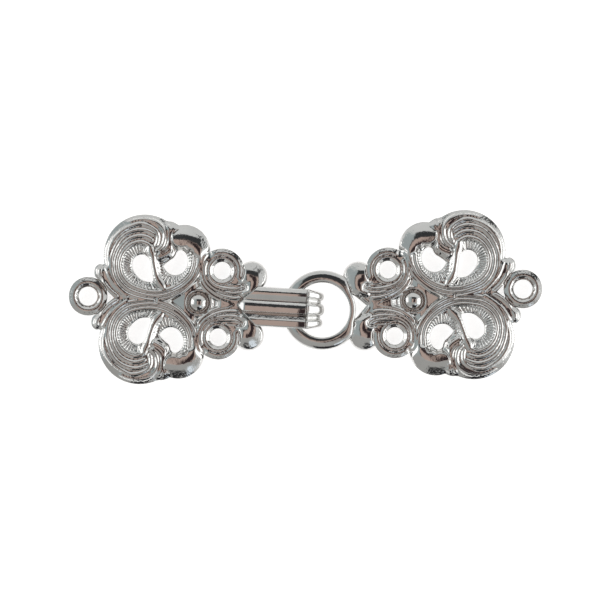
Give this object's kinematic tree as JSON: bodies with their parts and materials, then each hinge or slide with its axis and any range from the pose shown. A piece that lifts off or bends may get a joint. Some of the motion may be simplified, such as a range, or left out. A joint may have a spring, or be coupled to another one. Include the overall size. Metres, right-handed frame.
{
  "type": "hook and eye clasp",
  "caption": "Two-part cast scrollwork clasp: a ribbed hook on one plate holds the ring of the other; sewing holes at both ends.",
  "frame": {"origin": "on the flat back of the hook half, under the centre of its boss", "axes": "+X from the hook half's boss along its arm towards the eye half, +Z out of the scrollwork's face"},
  "size_m": [0.0757, 0.031, 0.0044],
  "materials": {
    "silver_metal": "polished silver-tone plating over a zinc casting, slightly darker in the hollows"
  },
  "bodies": {
    "hook_half": {"hook_half": "silver_metal"},
    "eye_half": {"eye_half": "silver_metal"}
  },
  "joints": [
    {"name": "eye_turn", "type": "hinge", "parent": "hook_half", "child": "eye_half", "pos_m": [0.01988, 0, 0.0019], "axis": [0, 0, 1], "range_deg": [-94.4, 75.6]}
  ]
}
